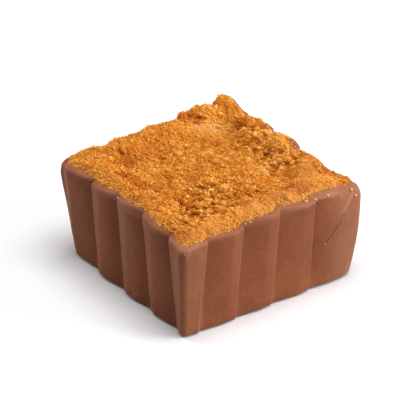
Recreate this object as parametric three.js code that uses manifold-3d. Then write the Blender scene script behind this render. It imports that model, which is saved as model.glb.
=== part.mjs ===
// A filled chocolate: a square cup of milk chocolate with fluted sides that lean outwards and
// a shallow dish on top, under a layer of fine golden biscuit crumb that covers dish and rim.
// Millimetres, +Z up. The flat base lies on z = 0 and the origin is the middle of the base.

import * as THREE from 'three';
import { mergeVertices } from 'three/addons/utils/BufferGeometryUtils.js';
import Module from 'manifold-3d';

const { lerp, smoothstep } = THREE.MathUtils;

// The four sides, anticlockwise from above: front, right, back and left. `crease` is the distance
// from the middle to the creases between the flutes, and `first` is where the first crease lies
// along the side. `flute` is how far the flutes stand out from their creases, and `crest` is where
// on them, as a share of the pitch. `corner` is how far the corner after a side reaches, out and
// along the side, and `radii` is its rounding, likewise.
const RIM = {
  sides: [
    { crease: 13.75, first: -10.4, flute: 0.95, crest: 0.66, corner: [14.3, 15.15], radii: [0.8, 4.4] },
    { crease: 12.7, first: -8.2, flute: 1.1, crest: 0.66, corner: [13.4, 14.7], radii: [2.2, 2.2] },
    { crease: 13.0, first: -9.7, flute: 1.0, crest: 0.66, corner: [15.0, 15.0], radii: [2.2, 2.2] },
    { crease: 13.65, first: -7.1, flute: 1.1, crest: 0.62, corner: [15.15, 14.85], radii: [0.9, 0.9] },
  ],
  pitch: 5.86, // from one crease to the next
};
const BASE = {
  sides: [
    { crease: 13.05, first: -11.3, flute: 0.42, crest: 0.7, corner: [13.4, 13.8], radii: [0.8, 3.4] },
    { crease: 12.2, first: -8.2, flute: 0.6, crest: 0.66, corner: [12.6, 13.2], radii: [1.6, 1.6] },
    { crease: 12.3, first: -10.2, flute: 0.6, crest: 0.66, corner: [13.2, 13.2], radii: [1.6, 1.6] },
    { crease: 12.9, first: -6.9, flute: 0.75, crest: 0.8, corner: [13.8, 13.2], radii: [0.8, 0.8] },
  ],
  pitch: 6.0,
};
const FLUTES = 3; // on a side, between the flutes at its corners

// The flutes overlap as shingles do. A flute rises slowly from the crease where the flute before
// it overlaps it, turns back a little past its crest, and ends in a lip over the next crease.
const LEANS = [1, -1, 1, -1]; // 1 where they overlap towards the end of a side, -1 its start
const BOWS = [0.45, 0.45, 0.45, 0.95]; // from 0, a straight rise, to 1, a round one
const LIP_WIDTH = 0.055; // as a share of the pitch
const LIP_HEIGHT = 0.7; // as a share of the flute's height
const FACET_BEND = 0.4; // how far a flute has turned back halfway from its crest to its lip
const FLANK_BEND = 0.8; // how far a flute at a corner has risen halfway to the corner
const LIPPED_FLANK_BEND = 0.55; // the same, where it starts from a lip

// The rim is uneven: it is crowned along each side, and each corner has its own height.
const RIM_HEIGHT = 14.75;
const RIM_CROWN = 0.35;
const CORNER_LIFT = { right: -0.65, back: 0.6, left: -0.6, front: -0.3 };
const CORNER_START = 0.72; // share of the way from the middle of a side to its corner
const CORNER_END = 0.95;
const RIM_SWELLS = [[-14, -5, 6, 0.5]]; // [x, y, radius, height] of where the rim is higher
const BASE_ROUNDING = 0.7;
const SHOULDER_ROUNDING = 0.7;

// The dish in the top: a level band along the rim, then a slope down to a floor.
const TOP_HALF_WIDTH = 14.2;
const BAND_WIDTH = 3.6;
const SLOPE_WIDTH = 2.8;
const CASE_DISH_DEPTH = 1.9;
const DISH_SQUARENESS = 8;

// The crumb layer. A hollow is [x, y, radius, depth], and a heap is [x, y, radius, height].
const CRUMB_GAP = 0.3; // between the case and the crumb
const CRUMB_OVER_RIM = 0.75; // height of its surface above the rim of the case
const CRUMB_DISH_DEPTH = 1.3;
const CRUMB_EDGE = [[0.7, 0.3], [0.75, 0.5], [1.0, 0.8], [1.7, 1.15], [3.2, 3.0]]; // inset, height
const CRUMB_CELL = 0.8; // spacing of the points of its surface
const CLUMP_SIZE = 2.1;
const CLUMP_HEIGHT = 0.24;
const CRUMB_SIZE = 0.8;
const CRUMB_HEIGHT = 0.13;
const HOLLOWS = [[-8, -6.9, 1.3, 0.5], [-10.3, 4.6, 0.9, 0.4], [-3.2, -2.2, 1.2, 0.35]];
const HEAPS = [[11.2, 12.4, 2.6, 0.35], [5.1, 12.9, 1.3, 0.4]];
const LOOSE_GRAINS = 80;
const SMALLEST_GRAIN = 0.34;
const LARGEST_GRAIN = 0.6;
const GRAIN_SEED = 11;

// How finely the curves are divided.
const STEPS_PER_FLANK = 5;
const STEPS_PER_ARC = 4;
const ROUNDING_STEPS = 3;
const WALL_STEPS = 3;
const TOP_RINGS = [3.3, 4.4, 5.6, 7.2, 11];

/** One flute from crease to crease, as shares of the pitch and of its height. */
function fluteProfile(crest, lean, bow) {
  const lipStart = 1 - LIP_WIDTH;
  const points = [
    [crest / 2, lerp(0.5, Math.SQRT1_2, bow)],
    [crest, 1],
    [(crest + lipStart) / 2, lerp(1, LIP_HEIGHT, FACET_BEND)],
    [lipStart, LIP_HEIGHT],
  ];
  const leaning = lean > 0 ? points : points.map(([along, height]) => [1 - along, height]).reverse();
  return [[0, 0], ...leaning];
}

/** The flutes of a side, as [along the side, out from the middle]. */
function sideFlutes(size, index) {
  const side = size.sides[index];
  const profile = fluteProfile(side.crest, LEANS[index], BOWS[index]);
  const flutes = Array.from({ length: FLUTES }, (_, flute) => profile.map(([along, height]) => [
    side.first + (flute + along) * size.pitch,
    side.crease + height * side.flute,
  ]));
  return flutes.flat();
}

/** A flute at a corner, from its crease, with a lip there or not, to where the arc starts. */
function cornerFlank(size, side, creaseAlong, reachOut, arcStart, lipped) {
  const crease = new THREE.Vector2(creaseAlong, side.crease);
  const lip = new THREE.Vector2(LIP_WIDTH * size.pitch, LIP_HEIGHT * side.flute);
  const start = lipped ? lip.add(crease) : crease;
  const end = new THREE.Vector2(arcStart, reachOut);
  const risen = lipped ? LIPPED_FLANK_BEND : FLANK_BEND;
  const bend = new THREE.Vector2(lerp(start.x, end.x, 0.5), lerp(start.y, end.y, risen));
  const points = new THREE.QuadraticBezierCurve(start, bend, end).getPoints(STEPS_PER_FLANK);
  return lipped ? [crease, ...points] : points;
}

/** One side of the outline and the corner after it, as [along the side, out from the middle]. */
function sideOutline(size, index) {
  const side = size.sides[index];
  const next = (index + 1) % size.sides.length;
  const nextSide = size.sides[next];
  const points = sideFlutes(size, index);
  const [reachOut, reachAlong] = side.corner;
  const [radiusOut, radiusAlong] = side.radii;
  const [arcOut, arcAlong] = [reachOut - radiusOut, reachAlong - radiusAlong];
  const lastCrease = side.first + FLUTES * size.pitch;
  const flank = cornerFlank(size, side, lastCrease, reachOut, arcAlong, LEANS[index] < 0);
  points.push(...flank.map((point) => [point.x, point.y]));
  for (let step = 1; step < STEPS_PER_ARC; step += 1) {
    const turn = (Math.PI / 2) * (1 - step / STEPS_PER_ARC);
    points.push([arcAlong + radiusAlong * Math.cos(turn), arcOut + radiusOut * Math.sin(turn)]);
  }
  const nextCrease = -nextSide.first;
  const nextFlank = cornerFlank(size, nextSide, nextCrease, reachAlong, arcOut, LEANS[next] > 0);
  points.push(...nextFlank.slice(1).reverse().map((point) => [point.y, point.x]));
  return points;
}

/** The whole outline of the case at one level, anticlockwise from above. */
function outline(size) {
  const sides = size.sides.map((_, index) => {
    const turned = new THREE.Matrix4().makeRotationZ((index * Math.PI) / 2);
    const points = sideOutline(size, index);
    return points.map(([along, out]) => new THREE.Vector3(along, -out, 0).applyMatrix4(turned));
  });
  return sides.flat();
}

const RIM_OUTLINE = outline(RIM);
const BASE_OUTLINE = outline(BASE);

/** How far a point lies in from the edge of the top, as in a square with rounded corners. */
function insetAt({ x, y }) {
  const reach = Math.abs(x) ** DISH_SQUARENESS + Math.abs(y) ** DISH_SQUARENESS;
  return TOP_HALF_WIDTH - reach ** (1 / DISH_SQUARENESS);
}

/** The height of the rim at a point, evened out towards the middle of the top. */
function rimHeightAt({ x, y }) {
  const toCorner = Math.min(Math.abs(x), Math.abs(y)) / TOP_HALF_WIDTH;
  const across = x < 0 ? { back: 'left', front: 'front' } : { back: 'back', front: 'right' };
  const cornerLift = CORNER_LIFT[y < 0 ? across.front : across.back];
  const crown = RIM_CROWN * Math.cos(Math.PI * Math.min(toCorner / CORNER_START, 1));
  const along = lerp(crown, cornerLift, smoothstep(toCorner, CORNER_START, CORNER_END));
  const lift = along + mostAt({ x, y }, RIM_SWELLS);
  return RIM_HEIGHT + lift * (1 - smoothstep(insetAt({ x, y }), 1, BAND_WIDTH + SLOPE_WIDTH));
}

/** How far a dish of the given depth lies below its band at a point. */
function dishAt(point, depth) {
  return depth * smoothstep(insetAt(point), BAND_WIDTH, BAND_WIDTH + SLOPE_WIDTH);
}

/** A ring of the wall at a share of the rim's height, moved in by `inset`. */
function wallRing(rise, inset) {
  return RIM_OUTLINE.map((rimPoint, index) => {
    const point = BASE_OUTLINE[index].clone().lerp(rimPoint, rise);
    return point.multiplyScalar(1 - inset / TOP_HALF_WIDTH).setZ(rise * rimHeightAt(rimPoint));
  });
}

/** A ring over the top, `inset` in from the edge and `lift` above the case. */
function topRing(inset, lift) {
  return RIM_OUTLINE.map((rimPoint) => {
    const point = rimPoint.clone().multiplyScalar(1 - inset / TOP_HALF_WIDTH);
    return point.setZ(rimHeightAt(point) - dishAt(point, CASE_DISH_DEPTH) + lift);
  });
}

/** The turns of a rounded edge, from 0 to a right angle. */
function roundingTurns() {
  const steps = Array.from({ length: ROUNDING_STEPS + 1 }, (_, step) => step);
  return steps.map((step) => (Math.PI / 2) * (step / ROUNDING_STEPS));
}

/** A closed solid through rings that run from the underside, round the outside, to the top. */
function ringSolid(rings, bottomHeight, topHeight) {
  const count = rings[0].length;
  const first = rings[0];
  const last = rings[rings.length - 1];
  const under = new THREE.Vector3(0, 0, bottomHeight);
  const over = new THREE.Vector3(0, 0, topHeight);
  const points = [];
  for (let at = 0; at < count; at += 1) {
    const next = (at + 1) % count;
    points.push(under, first[next], first[at], over, last[at], last[next]);
    for (let level = 1; level < rings.length; level += 1) {
      const lower = rings[level - 1];
      const upper = rings[level];
      points.push(lower[at], lower[next], upper[next], lower[at], upper[next], upper[at]);
    }
  }
  return mergeVertices(new THREE.BufferGeometry().setFromPoints(points));
}

/** The case: flat base, rounded edge, fluted wall, rounded shoulder, and a dish on top. */
function chocolateCase() {
  const edge = roundingTurns().map((turn) => {
    const height = BASE_ROUNDING * (1 - Math.cos(turn));
    return wallRing(height / RIM_HEIGHT, BASE_ROUNDING * (1 - Math.sin(turn)));
  });
  const wall = [];
  for (let step = 1; step < WALL_STEPS; step += 1) {
    wall.push(wallRing(step / WALL_STEPS, 0));
  }
  const shoulder = roundingTurns().map((turn) => {
    const drop = SHOULDER_ROUNDING * (1 - Math.sin(turn));
    return wallRing(1 - drop / RIM_HEIGHT, SHOULDER_ROUNDING * (1 - Math.cos(turn)));
  });
  const top = TOP_RINGS.map((inset) => topRing(inset, 0));
  return ringSolid([...edge, ...wall, ...shoulder, ...top], 0, RIM_HEIGHT - CASE_DISH_DEPTH);
}

/** A repeatable random number from 0 to 1 for a whole-number cell. */
function cellRandom(column, row) {
  const wave = Math.sin(column * 127.1 + row * 311.7 + 74.7) * 43758.5453;
  return wave - Math.floor(wave);
}

/** Smooth noise from -1 to 1 over cells of the given size. */
function noise(x, y, size) {
  const column = Math.floor(x / size);
  const row = Math.floor(y / size);
  const alongX = smoothstep(x / size - column, 0, 1);
  const alongY = smoothstep(y / size - row, 0, 1);
  const near = lerp(cellRandom(column, row), cellRandom(column + 1, row), alongX);
  const far = lerp(cellRandom(column, row + 1), cellRandom(column + 1, row + 1), alongX);
  return 2 * lerp(near, far, alongY) - 1;
}

/** The most that any of the round spots, each [x, y, radius, amount], gives at a point. */
function mostAt(point, spots) {
  const amounts = spots.map(([x, y, radius, amount]) => {
    const distance = Math.hypot(point.x - x, point.y - y);
    return amount * (1 - smoothstep(distance, radius / 2, radius));
  });
  return Math.max(...amounts);
}

/** The height of the crumb's surface at a point, with its clumps, crumbs, heaps and hollows. */
function crumbHeightAt(point) {
  const bumps = CLUMP_HEIGHT * noise(point.x, point.y, CLUMP_SIZE)
    + CRUMB_HEIGHT * noise(point.x, point.y, CRUMB_SIZE);
  const level = rimHeightAt(point) + CRUMB_OVER_RIM - dishAt(point, CRUMB_DISH_DEPTH);
  return level + bumps + mostAt(point, HEAPS) - mostAt(point, HOLLOWS);
}

/** A block whose top is the crumb's surface. */
function crumbBlock() {
  const width = 2 * RIM.sides[0].corner[0];
  const cells = Math.round(width / CRUMB_CELL);
  const block = new THREE.BoxGeometry(width, width, RIM_HEIGHT, cells, cells, 1);
  const places = block.attributes.position;
  for (let index = 0; index < places.count; index += 1) {
    const point = new THREE.Vector3().fromBufferAttribute(places, index);
    places.setZ(index, point.z > 0 ? crumbHeightAt(point) : 0);
  }
  return block;
}

/** The room for the crumb: it follows the top of the case and narrows to a rounded edge. */
function crumbRoom() {
  const under = [...TOP_RINGS].reverse().map((inset) => topRing(inset, CRUMB_GAP));
  const edge = CRUMB_EDGE.map(([inset, lift]) => topRing(inset, lift));
  const [, topLift] = CRUMB_EDGE[CRUMB_EDGE.length - 1];
  return ringSolid([...under, ...edge], RIM_HEIGHT - CASE_DISH_DEPTH + CRUMB_GAP, RIM_HEIGHT + topLift);
}

/** A seeded generator of random numbers from 0 to 1. */
function seededRandom(seed) {
  let state = seed;
  return () => {
    state = (state * 1664525 + 1013904223) % 4294967296;
    return state / 4294967296;
  };
}

/** The loose grains on the crumb: uneven little lumps, sunk halfway into its surface. */
function looseGrains() {
  const random = seededRandom(GRAIN_SEED);
  const reach = TOP_HALF_WIDTH - 3 * LARGEST_GRAIN - SHOULDER_ROUNDING;
  return Array.from({ length: LOOSE_GRAINS }, () => {
    const radius = lerp(SMALLEST_GRAIN, LARGEST_GRAIN, random() ** 2);
    const grain = new THREE.IcosahedronGeometry(radius, 0);
    grain.scale(1, lerp(0.7, 1, random()), lerp(0.6, 0.9, random()));
    grain.rotateX(random() * Math.PI).rotateZ(random() * Math.PI);
    const place = new THREE.Vector3(lerp(-reach, reach, random()), lerp(-reach, reach, random()), 0);
    return grain.translate(place.x, place.y, crumbHeightAt(place) + 0.2 * radius);
  });
}

/** The crumb layer: its surface trimmed to its room, with the loose grains joined on. */
async function crumbTopping() {
  const wasm = await Module();
  wasm.setup();
  const toSolid = (geometry) => {
    geometry.deleteAttribute('normal');
    geometry.deleteAttribute('uv');
    const merged = mergeVertices(geometry);
    const vertProperties = new Float32Array(merged.attributes.position.array);
    const triVerts = new Uint32Array(merged.index.array);
    return new wasm.Manifold(new wasm.Mesh({ numProp: 3, vertProperties, triVerts }));
  };
  const layer = toSolid(crumbBlock()).intersect(toSolid(crumbRoom()));
  const solid = looseGrains().reduce((joined, grain) => joined.add(toSolid(grain)), layer);
  const mesh = solid.getMesh();
  const geometry = new THREE.BufferGeometry();
  geometry.setAttribute('position', new THREE.BufferAttribute(mesh.vertProperties, 3));
  geometry.setIndex(new THREE.BufferAttribute(mesh.triVerts, 1));
  return geometry;
}

/** A named mesh of one piece, with a material of its own. */
function piece(name, geometry, color, roughness) {
  geometry.computeVertexNormals();
  const mesh = new THREE.Mesh(geometry, new THREE.MeshStandardMaterial({ color, roughness, metalness: 0 }));
  mesh.name = name;
  return mesh;
}

const filledChocolate = new THREE.Group();
filledChocolate.add(
  piece('chocolate_case', chocolateCase(), 0x91583e, 0.45),
  piece('crumb_topping', await crumbTopping(), 0xcf8535, 0.9),
);

export default filledChocolate;
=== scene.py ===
"""A filled chocolate: a square fluted cup of milk chocolate under fine golden biscuit crumb.

Sizes are in millimetres where a name or a docstring says so, and in metres in Blender. +Z is up,
and the middle of the flat base is the origin.
"""

from __future__ import annotations

import logging
import math
from dataclasses import dataclass, replace
from enum import Enum, IntEnum

import bmesh
import bpy
import numpy as np
from mathutils import Matrix, Vector, noise


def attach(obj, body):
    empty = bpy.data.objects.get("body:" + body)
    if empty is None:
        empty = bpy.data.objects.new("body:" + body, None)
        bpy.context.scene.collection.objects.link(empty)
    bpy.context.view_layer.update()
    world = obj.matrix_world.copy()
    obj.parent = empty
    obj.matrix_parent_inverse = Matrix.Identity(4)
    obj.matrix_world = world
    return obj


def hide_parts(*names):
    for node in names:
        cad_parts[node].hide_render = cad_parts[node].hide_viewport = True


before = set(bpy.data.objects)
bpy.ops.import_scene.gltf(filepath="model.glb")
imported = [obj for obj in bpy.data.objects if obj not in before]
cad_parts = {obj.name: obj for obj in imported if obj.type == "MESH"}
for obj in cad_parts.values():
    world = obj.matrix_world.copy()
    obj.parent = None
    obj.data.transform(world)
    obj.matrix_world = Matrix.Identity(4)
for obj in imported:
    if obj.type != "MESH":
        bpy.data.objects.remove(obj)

log = logging.getLogger("filled_chocolate")

MM = 0.001
BODY = "root"
CASE_NODE = "chocolate_case"
CRUMB_NODE = "crumb_topping"
QUARTER_TURN = 0.5 * math.pi
FULL_TURN = 2.0 * math.pi
NOISE_RANGE = (0.3, 0.7)
FINE_DETAIL = 3.0
DIAGONAL = 0.7
TINY = 1e-9

Colour = tuple[float, float, float]
Point = tuple[float, float, float]
Stop = tuple[float, Colour]


def smooth(value: np.ndarray | float, low: float, high: float) -> np.ndarray:
    """Ease from 0 at `low` to 1 at `high`.

    Args:
        value: The number or numbers to ease.
        low: Where the step starts.
        high: Where the step ends.

    Returns:
        The eased share, in the shape of `value`.
    """
    share = np.clip((np.asarray(value, float) - low) / (high - low), 0.0, 1.0)
    return share * share * (3.0 - 2.0 * share)


def raised(share: np.ndarray | float, least: float) -> np.ndarray | float:
    """Return a share from 0 to 1 moved into the range from `least` to 1."""
    return least + (1.0 - least) * share


# --------------------------------------------------------------------------------------- shape


class Lean(Enum):
    """Which way the flutes of a side overlap, as shingles do."""

    ONWARD = 1
    BACKWARD = -1


class Side(IntEnum):
    """The sides of the cup, anticlockwise from above, as the camera sees them."""

    FRONT_RIGHT = 0
    BACK_RIGHT = 1
    BACK_LEFT = 2
    FRONT_LEFT = 3


@dataclass(frozen=True)
class SideLine:
    """One side of the cup at one level, in millimetres.

    `crease` is the distance from the middle to the creases, and `first` is where the first
    crease lies along the side. `flute` is how far the flutes stand out from their creases, and
    `crest` is where on them, as a share of the pitch. `corner` is how far the corner after the
    side reaches, out and along the side, and `radii` is its rounding, likewise.
    """

    crease: float
    first: float
    flute: float
    crest: float
    corner: tuple[float, float]
    radii: tuple[float, float]


@dataclass(frozen=True)
class LevelShape:
    """The outline of the cup at one level: its sides and corners, in millimetres."""

    sides: tuple[SideLine, ...]
    pitch: float


class Corner(Enum):
    """The corners of the top, each with how far it lies above or below the rim's height."""

    FRONT = -0.3
    RIGHT = -0.65
    BACK = 0.6
    LEFT = -0.6


@dataclass(frozen=True)
class Spot:
    """A round spot on the top: its place, radius and strength."""

    x: float
    y: float
    radius: float
    strength: float = 1.0

    def share(self, x: np.ndarray, y: np.ndarray) -> np.ndarray:
        """Return how strongly points lie in the spot."""
        gap = np.hypot(x - self.x, y - self.y)
        return self.strength * (1.0 - smooth(gap, 0.5 * self.radius, self.radius))


def strongest(spots: tuple[Spot, ...], x: np.ndarray, y: np.ndarray) -> np.ndarray:
    """Return the strongest share that any of the spots has at points."""
    return np.max([spot.share(x, y) for spot in spots], axis=0)


@dataclass(frozen=True)
class CupShape:
    """The fluted cup with its dished top, which the case and the crumb share, in millimetres."""

    rim: LevelShape = LevelShape(
        sides=(
            SideLine(13.75, -10.4, 0.95, 0.66, (14.3, 15.15), (0.8, 4.4)),
            SideLine(12.7, -8.2, 1.1, 0.66, (13.4, 14.7), (2.2, 2.2)),
            SideLine(13.0, -9.7, 1.0, 0.66, (15.0, 15.0), (2.2, 2.2)),
            SideLine(13.65, -7.1, 1.1, 0.62, (15.15, 14.85), (0.9, 0.9)),
        ),
        pitch=5.86,
    )
    base: LevelShape = LevelShape(
        sides=(
            SideLine(13.05, -11.3, 0.42, 0.7, (13.4, 13.8), (0.8, 3.4)),
            SideLine(12.2, -8.2, 0.6, 0.66, (12.6, 13.2), (1.6, 1.6)),
            SideLine(12.3, -10.2, 0.6, 0.66, (13.2, 13.2), (1.6, 1.6)),
            SideLine(12.9, -6.9, 0.75, 0.8, (13.8, 13.2), (0.8, 0.8)),
        ),
        pitch=6.0,
    )
    leans: tuple[Lean, ...] = (Lean.ONWARD, Lean.BACKWARD, Lean.ONWARD, Lean.BACKWARD)
    bows: tuple[float, ...] = (0.45, 0.45, 0.45, 0.95)
    flutes: int = 3
    crest_curve: float = 1.3
    lip_width: float = 0.055
    lip_share: float = 0.7
    flank_bend: float = 0.8
    lipped_flank_bend: float = 0.55
    side_slack: float = 0.5
    rim_height: float = 14.75
    rim_crown: float = 0.35
    corner_start: float = 0.72
    corner_end: float = 0.95
    rim_swells: tuple[Spot, ...] = (Spot(-14.0, -5.0, 6.0, 0.5),)
    rim_width: float = 1.0
    top_half_width: float = 14.2
    band_width: float = 3.6
    slope_width: float = 2.8
    case_dish_depth: float = 1.9
    squareness: float = 8.0
    steps_per_rise: int = 12
    steps_per_facet: int = 7
    steps_per_lip: int = 6
    steps_per_flank: int = 20
    steps_per_arc: int = 10

    def _lip(self) -> np.ndarray:
        """Return the rounded lip of a flute, as shares of its width and height to its crease."""
        turns = np.linspace(0.0, QUARTER_TURN, self.steps_per_lip + 1)
        return np.column_stack([np.sin(turns), np.cos(turns)])

    def _flute(self, crest: float, lean: Lean, bow: float) -> np.ndarray:
        """Return one flute from crease to crease.

        It rises slowly from the crease where the flute before overlaps it, turns back a little
        past its crest, and ends in a rounded lip over the next crease.

        Args:
            crest: Where the flute stands out most, as a share of the pitch.
            lean: Which way the flutes overlap.
            bow: How round the rise is, from 0 to 1.

        Returns:
            Its points, as shares of the pitch and of the flute's height.
        """
        rise = np.linspace(0.0, 1.0, self.steps_per_rise, endpoint=False)
        back = np.linspace(0.0, 1.0, self.steps_per_facet, endpoint=False)
        lip = self._lip()
        lip_start = 1.0 - self.lip_width
        along = [
            rise * crest,
            crest + back * (lip_start - crest),
            lip_start + lip[:, 0] * self.lip_width,
        ]
        out = [
            (1.0 - bow) * rise + bow * np.sin(QUARTER_TURN * rise),
            1.0 - (1.0 - self.lip_share) * back**self.crest_curve,
            self.lip_share * lip[:, 1],
        ]
        flute = np.column_stack([np.concatenate(along), np.concatenate(out)])
        if lean is Lean.BACKWARD:
            return flute[::-1] * (-1.0, 1.0) + (1.0, 0.0)
        return flute

    def _flank(
        self,
        pitch: float,
        side: SideLine,
        along: float,
        arc_start: tuple[float, float],
        lipped: bool,
    ) -> np.ndarray:
        """Return the flute at a corner, from its crease to where the corner's arc starts.

        Args:
            pitch: The distance between the creases.
            side: The side that the flute lies on.
            along: Where the flute's crease lies along the side.
            arc_start: Where the arc starts, as [along, out].
            lipped: Whether the flute ends in a lip over its crease.

        Returns:
            Its points, as [along, out] in millimetres.
        """
        start = np.array([along, side.crease])
        end = np.array(arc_start)
        lip = np.empty((0, 2))
        bend = self.flank_bend
        if lipped:
            reach = np.array([self.lip_width * pitch, self.lip_share * side.flute])
            lip = (start + self._lip() * (-1.0, 1.0) * reach + (reach[0], 0.0))[:0:-1]
            start = start + reach
            bend = self.lipped_flank_bend
        middle = start + (end - start) * (0.5, bend)
        share = np.linspace(0.0, 1.0, self.steps_per_flank + 1)[:, None]
        curve = (1 - share) ** 2 * start + 2 * share * (1 - share) * middle + share**2 * end
        return np.vstack([lip, curve])

    def _side(self, size: LevelShape, index: int) -> np.ndarray:
        """Return one side of the outline with the corner after it.

        Args:
            size: The level's sides, flutes and corners.
            index: The side.

        Returns:
            Its points, as [along, out] in millimetres.
        """
        side, lean = size.sides[index], self.leans[index]
        next_index = (index + 1) % len(size.sides)
        following, next_lean = size.sides[next_index], self.leans[next_index]
        profile = self._flute(side.crest, lean, self.bows[index])
        starts = side.first + size.pitch * np.arange(self.flutes)
        along = (starts[:, None] + size.pitch * profile[:-1, 0]).ravel()
        out = side.crease + side.flute * np.tile(profile[:-1, 1], self.flutes)
        last_crease = side.first + self.flutes * size.pitch
        reach_out, reach_along = side.corner
        radius_out, radius_along = side.radii
        arc_out, arc_along = reach_out - radius_out, reach_along - radius_along
        flank = self._flank(
            size.pitch, side, last_crease, (arc_along, reach_out), lean is Lean.BACKWARD
        )
        turns = QUARTER_TURN * (1.0 - np.arange(1, self.steps_per_arc) / self.steps_per_arc)
        round_off = np.column_stack([np.cos(turns), np.sin(turns)]) * (radius_along, radius_out)
        arc = round_off + (arc_along, arc_out)
        next_flank = self._flank(
            size.pitch, following, -following.first, (arc_out, reach_along), next_lean is Lean.ONWARD
        )
        return np.vstack([np.column_stack([along, out]), flank, arc, next_flank[:0:-1, ::-1]])

    def outline(self, size: LevelShape) -> np.ndarray:
        """Return the whole outline at one level.

        Args:
            size: The level's sides, flutes and corners.

        Returns:
            An array of [x, y] points in millimetres, anticlockwise from above.
        """
        turned = []
        for side in Side:
            along, out = self._side(size, side).T
            for _ in range(side):
                along, out = out, -along
            turned.append(np.column_stack([along, -out]))
        return np.vstack(turned)

    def from_crease(self, index: int, points: np.ndarray) -> np.ndarray:
        """Return how far points lie along a flute of a side, from the crease it rises from.

        Args:
            index: The side.
            points: Points of the wall, in millimetres.

        Returns:
            The share of the pitch from 0 to 1, and -1 for points that aren't on the side.
        """
        turn = np.array(Matrix.Rotation(QUARTER_TURN * index, 2))
        along, out = (points[:, :2] @ turn).T
        rise = np.clip(points[:, 2] / self.rim_height, 0.0, 1.0)
        first = self.base.sides[index].first * (1.0 - rise) + self.rim.sides[index].first * rise
        pitch = self.base.pitch * (1.0 - rise) + self.rim.pitch * rise
        share = (along - first) / pitch % 1.0
        if self.leans[index] is Lean.BACKWARD:
            share = 1.0 - share
        return np.where(-out > self.base.sides[index].crease - self.side_slack, share, -1.0)

    def inset(self, x: np.ndarray, y: np.ndarray) -> np.ndarray:
        """Return how far points lie in from the edge of the top, as a rounded square."""
        reach = np.abs(x) ** self.squareness + np.abs(y) ** self.squareness
        return self.top_half_width - reach ** (1.0 / self.squareness)

    def rim_height_at(self, x: np.ndarray, y: np.ndarray) -> np.ndarray:
        """Return the rim's height at points, evened out towards the middle of the top.

        Args:
            x: Where the points lie along X, in millimetres.
            y: Where they lie along Y.

        Returns:
            The heights, in millimetres.
        """
        to_corner = np.minimum(np.abs(x), np.abs(y)) / self.top_half_width
        front = np.where(x < 0, Corner.FRONT.value, Corner.RIGHT.value)
        back = np.where(x < 0, Corner.LEFT.value, Corner.BACK.value)
        corner = np.where(y < 0, front, back)
        share = np.minimum(to_corner / self.corner_start, 1.0)
        crown = self.rim_crown * np.cos(math.pi * share)
        at_corner = smooth(to_corner, self.corner_start, self.corner_end)
        lift = crown + (corner - crown) * at_corner + strongest(self.rim_swells, x, y)
        inner = smooth(self.inset(x, y), self.rim_width, self.band_width + self.slope_width)
        return self.rim_height + lift * (1.0 - inner)

    def dish(self, x: np.ndarray, y: np.ndarray, depth: float) -> np.ndarray:
        """Return how far a dish of the given depth lies below its band at points."""
        inset = self.inset(x, y)
        return depth * smooth(inset, self.band_width, self.band_width + self.slope_width)


# ------------------------------------------------------------------------------------ modelling


def start_piece(name: str) -> bpy.types.Object:
    """Name the primitive that was just added and open it for editing.

    Args:
        name: The name of the piece and of its mesh.

    Returns:
        The object, in edit mode.
    """
    piece = bpy.context.object
    piece.name = name
    piece.data.name = name
    bpy.ops.object.mode_set(mode="EDIT")
    return piece


def close_piece(piece: bpy.types.Object) -> None:
    """Turn a piece's faces outwards, leave edit mode and put its place into its mesh.

    Args:
        piece: The active object, in edit mode.
    """
    bpy.ops.mesh.select_all(action="SELECT")
    bpy.ops.mesh.normals_make_consistent(inside=False)
    bpy.ops.object.mode_set(mode="OBJECT")
    bpy.ops.object.transform_apply(location=True, rotation=True, scale=True)


def apply_modifier(piece: bpy.types.Object, kind: str, **settings: object) -> None:
    """Add a modifier to a piece and apply it.

    Args:
        piece: The active object.
        kind: The kind of modifier.
        **settings: The modifier's own settings.
    """
    modifier = piece.modifiers.new(kind.title(), kind)
    for key, value in settings.items():
        setattr(modifier, key, value)
    bpy.ops.object.modifier_apply(modifier=modifier.name)


def coordinates(piece: bpy.types.Object) -> np.ndarray:
    """Read where the points of a piece's mesh are.

    Args:
        piece: The piece, in object mode.

    Returns:
        An array of [x, y, z] points, in millimetres.
    """
    flat = np.empty(3 * len(piece.data.vertices))
    piece.data.vertices.foreach_get("co", flat)
    return flat.reshape(-1, 3) / MM


def set_coordinates(piece: bpy.types.Object, points: np.ndarray) -> None:
    """Move the points of a piece's mesh to new places, in millimetres."""
    piece.data.vertices.foreach_set("co", (points * MM).ravel())
    piece.data.update()


def paint(piece: bpy.types.Object, name: str, values: np.ndarray) -> None:
    """Store a number for each point of a piece, which its finish reads by name."""
    attribute = piece.data.attributes.new(name, "FLOAT", "POINT")
    attribute.data.foreach_set("value", values.astype(np.float32))


def laid_on(piece: bpy.types.Object, spot: Point, lift: float) -> Point:
    """Find the place on a piece's surface that is nearest to a spot, in millimetres.

    Args:
        piece: The piece that something is laid on.
        spot: A place near its surface.
        lift: How far off the surface the place is to be.

    Returns:
        The place.
    """
    _, place, normal, _ = piece.closest_point_on_mesh(Vector(spot) * MM)
    return tuple(np.array(place) / MM + np.array(normal) * lift)


def hand_over(piece: bpy.types.Object, node: str) -> None:
    """Make a piece ride on the body and stand for its CAD node.

    Args:
        piece: The finished piece.
        node: The CAD node that it stands for.
    """
    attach(piece, BODY)
    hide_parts(node)
    log.info("%s: %d faces", piece.name, len(piece.data.polygons))


# ------------------------------------------------------------------------------------- finishes


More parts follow.
